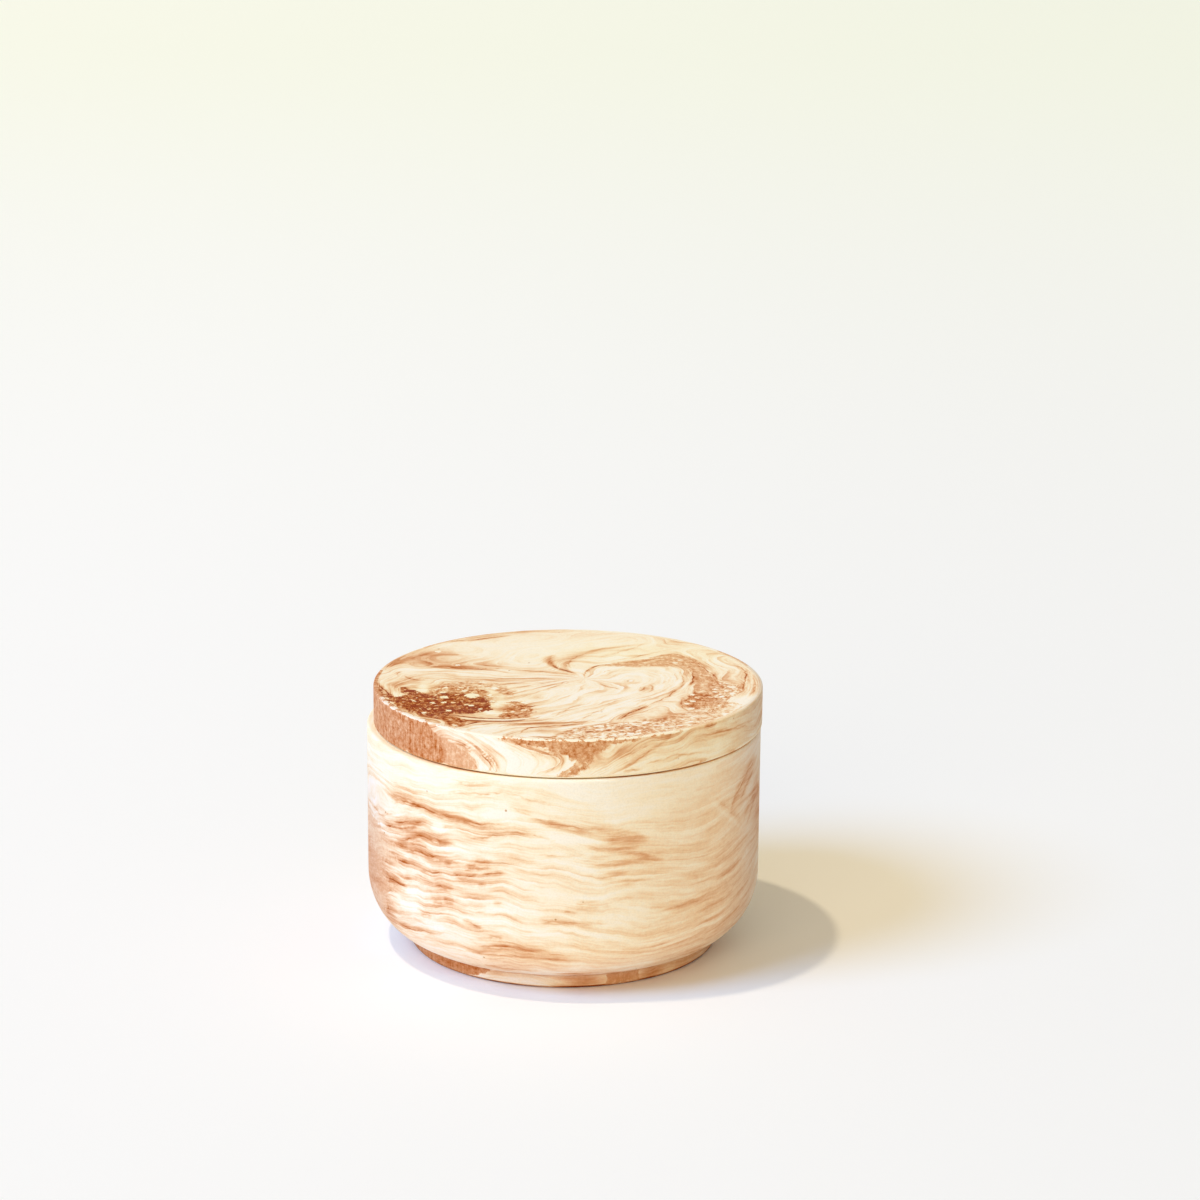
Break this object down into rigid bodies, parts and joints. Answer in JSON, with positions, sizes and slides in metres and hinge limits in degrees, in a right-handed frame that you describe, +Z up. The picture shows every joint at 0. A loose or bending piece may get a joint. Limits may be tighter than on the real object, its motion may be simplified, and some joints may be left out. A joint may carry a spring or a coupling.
{
  "type": "lidded trinket box",
  "caption": "Round straight-sided keepsake pot in marbled cast stone, with a rounded belly, a low foot and a flat slab lid that lifts off.",
  "frame": {"origin": "centre of the foot's flat underside, on the bowl's axis", "axes": "+Z up along the bowl's axis, -Y towards the viewer of the picture, +X to the viewer's right"},
  "size_m": [0.1003, 0.1, 0.0675],
  "materials": {
    "bowl_stone": "matte",
    "lid_stone": "matte"
  },
  "bodies": {
    "bowl": {"bowl": "bowl_stone"},
    "lid": {"lid": "lid_stone"}
  },
  "joints": [
    {"name": "lid_lift", "type": "slide", "parent": "bowl", "child": "lid", "axis": [0, 0, 1], "range_m": [0, 0.06]}
  ]
}
